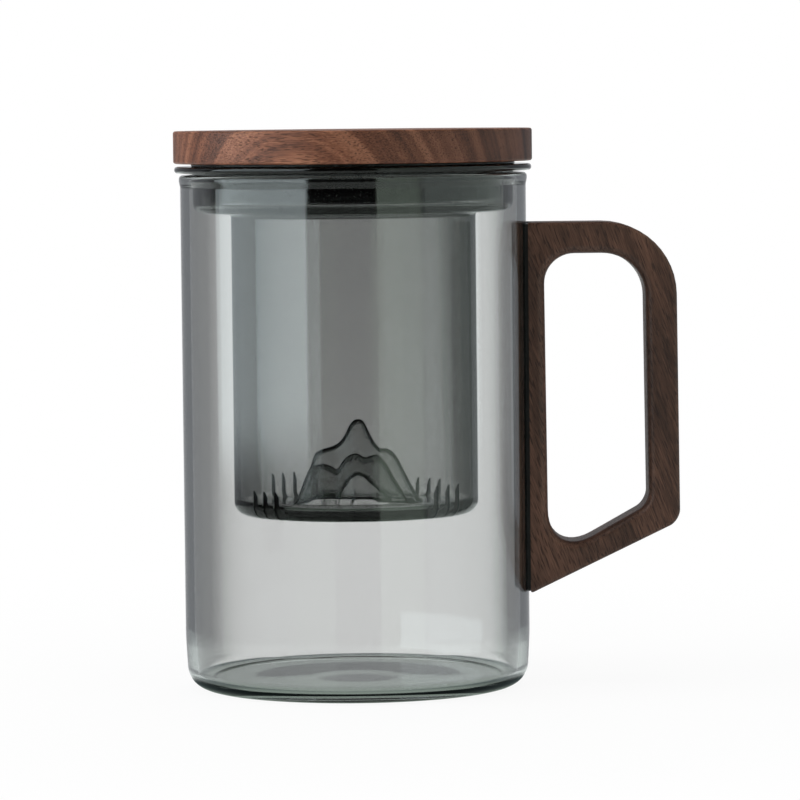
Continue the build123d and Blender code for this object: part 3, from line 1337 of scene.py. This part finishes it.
    def _saddle(self) -> bpy.types.Object:
        """Makes the round tool that fits the board to the cup."""
        middle = (self.top + self.foot) / 2
        length = (self.top - self.foot) * self.saddle_length
        bpy.ops.mesh.primitive_cylinder_add(vertices=256, radius=self.saddle_radius, depth=length,
                                            location=(0, 0, middle))
        tool = bpy.context.object
        select_only(tool)
        bpy.ops.object.transform_apply(location=True, rotation=True, scale=True)
        return tool

    def _strip(self) -> bpy.types.Object:
        """Spins the bond strip round its part of the cup's wall."""
        half_width = self.thickness / 2 - self.bond_inset
        half_angle = math.asin(half_width / self.saddle_radius)
        strip = Outline("handle_bond_strip", [
            Corner(self.bond_radius, self.foot + self.bond_inset),
            Corner(self.saddle_radius, self.foot + self.bond_inset, self.bond_round),
            Corner(self.saddle_radius, self.top - self.bond_inset, self.bond_round),
            Corner(self.bond_radius, self.top - self.bond_inset),
        ], closed=True, segments=3).draw()
        with edit_mode(strip):
            bpy.ops.mesh.select_all(action="SELECT")
            bpy.ops.mesh.edge_face_add()
            bpy.ops.mesh.select_all(action="SELECT")
            bpy.ops.mesh.spin(steps=self.bond_steps, angle=2 * half_angle, center=(0, 0, 0),
                              axis=(0, 0, 1))
            close_shell()
        middle = sum((vert.co for vert in strip.data.vertices), Vector()) / len(strip.data.vertices)
        turn = Quaternion((0, 0, 1), -math.atan2(middle.y, middle.x))
        strip.data.transform(turn.to_matrix().to_4x4())
        return strip


# ---- the studio --------------------------------------------------------------------


@dataclass(frozen=True)
class Panel:
    """A soft lamp, given by where it stands around the mug."""

    name: str
    azimuth: float              # degrees from the camera's side, + to the right
    elevation: float
    distance: float
    width: float
    height: float
    level: float                # how bright it shows a white card that faces it

    def place(self, target: Vector) -> Vector:
        """Gives the lamp's place around a target."""
        turn, rise = math.radians(self.azimuth), math.radians(self.elevation)
        reach = math.cos(rise) * self.distance
        return target + Vector((math.sin(turn) * reach, -math.cos(turn) * reach,
                                math.sin(rise) * self.distance))

    def power(self) -> float:
        """Gives the lamp's power in watts for its level."""
        return self.level * (math.pi * self.distance) ** 2


@dataclass(frozen=True)
class SoftBox:
    """A bright part of the room, in degrees around the mug, as reflections show it."""

    start: float
    end: float
    low: float
    high: float
    colour: Colour
    side_edge: float = 1.5
    low_edge: float = 2.0
    high_edge: float = 12.0

    def shape(self, azimuth: Signal, rise: Signal) -> Signal:
        """Gives 1 inside the box and 0 outside it.

        Args:
            azimuth: Degrees from the camera's side, + to the right.
            rise: Degrees above the horizon.

        Returns:
            The box's shape with soft edges.
        """
        across = azimuth.window(self.start, self.end, self.side_edge)
        return across * rise.step(self.low - self.low_edge, self.low) * rise.step(
            self.high + self.high_edge, self.high)


@dataclass(frozen=True)
class Shade:
    """A painted shade of the paper, in a round or a ring under the mug, that rays through the glass see.
    """

    start: float                # radius at which it begins
    full: float                 # and at which it is fully there
    light: Colour

    def share(self, outward: Signal) -> Signal:
        """Gives 1 inside the shade and 0 outside it."""
        return outward.step(self.start, self.full)

    def glow(self, recipe: Recipe) -> bpy.types.Node:
        """Adds the emission that paints its shade."""
        return recipe.node("ShaderNodeEmission", inputs={"Color": self.light, "Strength": 1.0})


@dataclass
class Studio:
    """Camera, lamps, floor and surroundings."""

    camera_distance: float = 1.17
    camera_height: float = 142.5 * MM
    lens: float = 213.8
    sensor: float = 36.0
    sight: float = 20.0         # metres that the camera sees
    through_bounces: int = 32   # of light that goes through glass inside glass
    mirror_bounces: int = 12
    clear_bounces: int = 16     # of light that goes through what is fully clear
    yaw: float = 0.54           # degrees to the right of the cup's axis
    pitch: float = 3.52         # degrees downwards
    roll: float = 0.6           # degrees that lift the mug's right side
    target: Vector = field(default_factory=lambda: Vector((0.01, 0.0, 0.08)))
    panels: tuple[Panel, ...] = (
        Panel("left_panel", -78, 10, 0.75, 0.40, 0.60, 0.90),
        Panel("right_panel", 62, 10, 0.85, 0.40, 0.60, 0.10),
        Panel("back_panel", 172, 20, 0.90, 0.60, 0.60, 0.45),
        Panel("top_panel", 0, 84, 0.80, 0.50, 0.50, 0.45),
    )
    boxes: tuple[SoftBox, ...] = (
        SoftBox(-103, -32.5, -3.5, 50, (1.88, 2.14, 2.20), low_edge=1.3),
        SoftBox(16.5, 46, -12, 50, (0.56, 0.67, 0.57)),
        SoftBox(49, 118, -12, 50, (0.50, 0.57, 0.54)),
        SoftBox(122, 181, -30, 40, (0.24, 0.25, 0.265), side_edge=6.0),
        SoftBox(-181, -112, -30, 40, (0.24, 0.25, 0.265), side_edge=6.0),
        SoftBox(176, 181, -30, 20, (0.30, 0.30, 0.30), side_edge=17.0, high_edge=3.0),
        SoftBox(-181, -176, -30, 20, (0.30, 0.30, 0.30), side_edge=17.0, high_edge=3.0),
    )
    gloom: float = 0.012        # the dark room between the boxes
    ground: Colour = (0.55, 0.60, 0.57)     # the lit floor, as reflections show it
    ground_band: Band = (-6.5, -10.0)       # degrees over which it comes in
    scatter: float = 0.25       # how far the boxes light what does not shine
    ambient: float = 0.12
    walls: int = 12             # white walls that stand around the mug
    wall_turn: float = 0.6      # degrees that they stand to the right of the back
    wall_gap: float = 0.60      # how far the light falls off between two walls
    wall_band: Band = (0.15, 0.70)          # from a wall's middle, 0, to a gap's, 1
    wall_fade: Band = (12.0, 5.0)           # degrees of height at which they are gone and whole
    wall_rest: float = 0.03     # what is left of them above that
    floor_radius: float = 0.6
    floor_drop: float = 0.05 * MM
    floor_colour: Colour = (0.86, 0.86, 0.86)
    floor_glow: float = 0.93    # share of pure white in what the camera sees of it
    floor_fade: Band = (0.1, 0.5)           # shares of its radius between which all turns white
    contact: Shade = Shade(46 * MM, 42 * MM, (0.40, 0.47, 0.415))   # painted contact shadow, where the mug is near the paper
    painted_shadow_spots: tuple[Shade, ...] = (
        Shade(11 * MM, 8 * MM, (0.02, 0.025, 0.022)),               # painted darker shadow right under its middle
        Shade(37 * MM, 41 * MM, (0.09, 0.12, 0.12)))                # painted dark shadow under the round of its foot

    def build(self) -> None:
        """Sets up the whole studio."""
        self._view_settings()
        self._camera()
        for panel in self.panels:
            self._lamp(panel)
        self._world()
        self._floor()

    def _view_settings(self) -> None:
        """Chooses the plain view and enough bounces for glass inside glass."""
        scene = bpy.context.scene
        scene.view_settings.view_transform = "Standard"
        scene.cycles.max_bounces = scene.cycles.transmission_bounces = self.through_bounces
        scene.cycles.glossy_bounces = self.mirror_bounces
        scene.cycles.transparent_max_bounces = self.clear_bounces

    def _camera(self) -> None:
        """Places the camera."""
        yaw, pitch = math.radians(self.yaw), math.radians(self.pitch)
        level = math.cos(pitch)
        forward = Vector((math.sin(yaw) * level, math.cos(yaw) * level, -math.sin(pitch)))
        bpy.ops.object.camera_add(location=(0, -self.camera_distance, self.camera_height))
        camera = bpy.context.object
        camera.rotation_mode = "QUATERNION"
        turn = forward.to_track_quat("-Z", "Y")
        camera.rotation_quaternion = turn @ Quaternion((0, 0, 1), math.radians(-self.roll))
        camera.data.lens = self.lens
        camera.data.sensor_width = self.sensor
        camera.data.clip_end = self.sight
        bpy.context.scene.camera = camera

    def _lamp(self, panel: Panel) -> None:
        """Adds one soft light that gives no reflections of its own."""
        place = panel.place(self.target)
        bpy.ops.object.light_add(type="AREA", location=place)
        lamp = bpy.context.object
        lamp.name = panel.name
        lamp.rotation_mode = "QUATERNION"
        lamp.rotation_quaternion = (self.target - place).to_track_quat("-Z", "Y")
        lamp.data.shape = "RECTANGLE"
        lamp.data.size, lamp.data.size_y = panel.width, panel.height
        lamp.data.energy = panel.power()
        lamp.visible_camera = lamp.visible_glossy = lamp.visible_transmission = False

    def _world(self) -> None:
        """Surrounds the mug with white walls, and its reflections with soft boxes."""
        world = bpy.data.worlds.new("studio_world")
        world.use_nodes = True
        bpy.context.scene.world = world
        recipe = Recipe(world.node_tree)
        direction = recipe.value("ShaderNodeTexCoord", output="Generated")
        across = recipe.dot(direction, (1, 0, 0))
        towards = recipe.dot(direction, (0, -1, 0))
        rise = recipe.dot(direction, (0, 0, 1)).math("ARCSINE") * DEGREES
        turn = across.math("ARCTAN2", towards)
        azimuth = turn * DEGREES

        path = recipe.node("ShaderNodeLightPath")
        camera = Signal(recipe, path.outputs["Is Camera Ray"])
        mirrored = Signal(recipe, path.outputs["Glossy Depth"]) > 0.5
        scattered = Signal(recipe, path.outputs["Diffuse Depth"]) > 0.5
        between = 0.5 - ((turn + math.radians(self.wall_turn)) * float(self.walls)).math("COSINE") * 0.5
        walls = 1.0 - between.step(*self.wall_band) * self.wall_gap
        walls = walls * (rise.step(*self.wall_fade) * (1 - self.wall_rest) + self.wall_rest)
        straight = camera + (1.0 - camera) * walls

        shapes = [box.shape(azimuth, rise) for box in self.boxes]
        below = rise.step(*self.ground_band)
        channels = []
        for channel in range(3):
            lit = sum((shape * box.colour[channel] for shape, box in zip(shapes, self.boxes)),
                      start=below * self.ground[channel] + self.gloom)
            seen = straight * (1.0 - mirrored) + lit * mirrored
            channels.append(seen * (1.0 - scattered) + (lit * self.scatter + self.ambient) * scattered)
        colour = recipe.combine(*channels)
        shade = recipe.node("ShaderNodeBackground", inputs={"Color": colour, "Strength": 1.0})
        output = recipe.node("ShaderNodeOutputWorld")
        recipe.tree.links.new(shade.outputs[0], output.inputs["Surface"])

    def _floor(self) -> None:
        """Lays a pale floor that keeps a faint shadow and fades into the room, and shows painted shade
        under the mug through the glass.
        """
        bpy.ops.mesh.primitive_circle_add(vertices=128, radius=self.floor_radius, fill_type="NGON",
                                          location=(0, 0, -self.floor_drop))
        floor = bpy.context.object
        floor.name = "studio_floor"
        material, recipe = new_recipe("floor_paper")
        path = recipe.node("ShaderNodeLightPath")
        camera, glossy, through = (Signal(recipe, path.outputs[name]) for name in (
            "Is Camera Ray", "Is Glossy Ray", "Is Transmission Ray"))
        outward = recipe.value("ShaderNodeVectorMath", {"operation": "LENGTH"},
                               {0: recipe.place()}, output="Value")
        fade = outward.step(*(self.floor_radius * share for share in self.floor_fade))
        paper = recipe.node("ShaderNodeBsdfDiffuse", inputs={"Color": self.floor_colour})
        white = recipe.node("ShaderNodeEmission", inputs={"Color": (1.0, 1.0, 1.0), "Strength": 1.0})
        glow = self.floor_glow + fade * (1 - self.floor_glow)
        drawn = self._blend(recipe, camera * glow, paper, white)
        # painted shade: rays through the glass see fixed dark emissions under the mug in place of its cast
        # shadow
        painted_shade = self.contact.glow(recipe)
        for painted_spot in self.painted_shadow_spots:
            painted_shade = self._blend(recipe, painted_spot.share(outward), painted_shade, painted_spot.glow(recipe))
        room = recipe.node("ShaderNodeBsdfTransparent")
        glimpsed = self._blend(recipe, self.contact.share(outward), room, painted_shade)
        mixed = self._blend(recipe, through.math("MAXIMUM", glossy), drawn, glimpsed)
        output = recipe.node("ShaderNodeOutputMaterial")
        recipe.tree.links.new(mixed.outputs[0], output.inputs["Surface"])
        floor.data.materials.append(material)

    def _blend(self, recipe: Recipe, share: Signal, first: bpy.types.Node,
               second: bpy.types.Node) -> bpy.types.Node:
        """Mixes two shaders.

        Args:
            recipe: The recipe that holds them.
            share: 0 gives the first, 1 the second.
            first: The first shader.
            second: The second shader.

        Returns:
            The mixing node.
        """
        mixed = recipe.node("ShaderNodeMixShader", inputs={0: share})
        recipe.tree.links.new(first.outputs[0], mixed.inputs[1])
        recipe.tree.links.new(second.outputs[0], mixed.inputs[2])
        return mixed


def main() -> None:
    """Loads the frame, builds each sub-assembly and sets up the studio."""
    logging.basicConfig(level=logging.INFO, format="%(name)s %(message)s")
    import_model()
    bpy.ops.object.select_all(action="DESELECT")
    for part in (Cup(), Infuser(), Lid(), Handle(), Studio()):
        part.build()
        LOG.info("%s done", type(part).__name__)


if __name__ == "__main__":
    main()
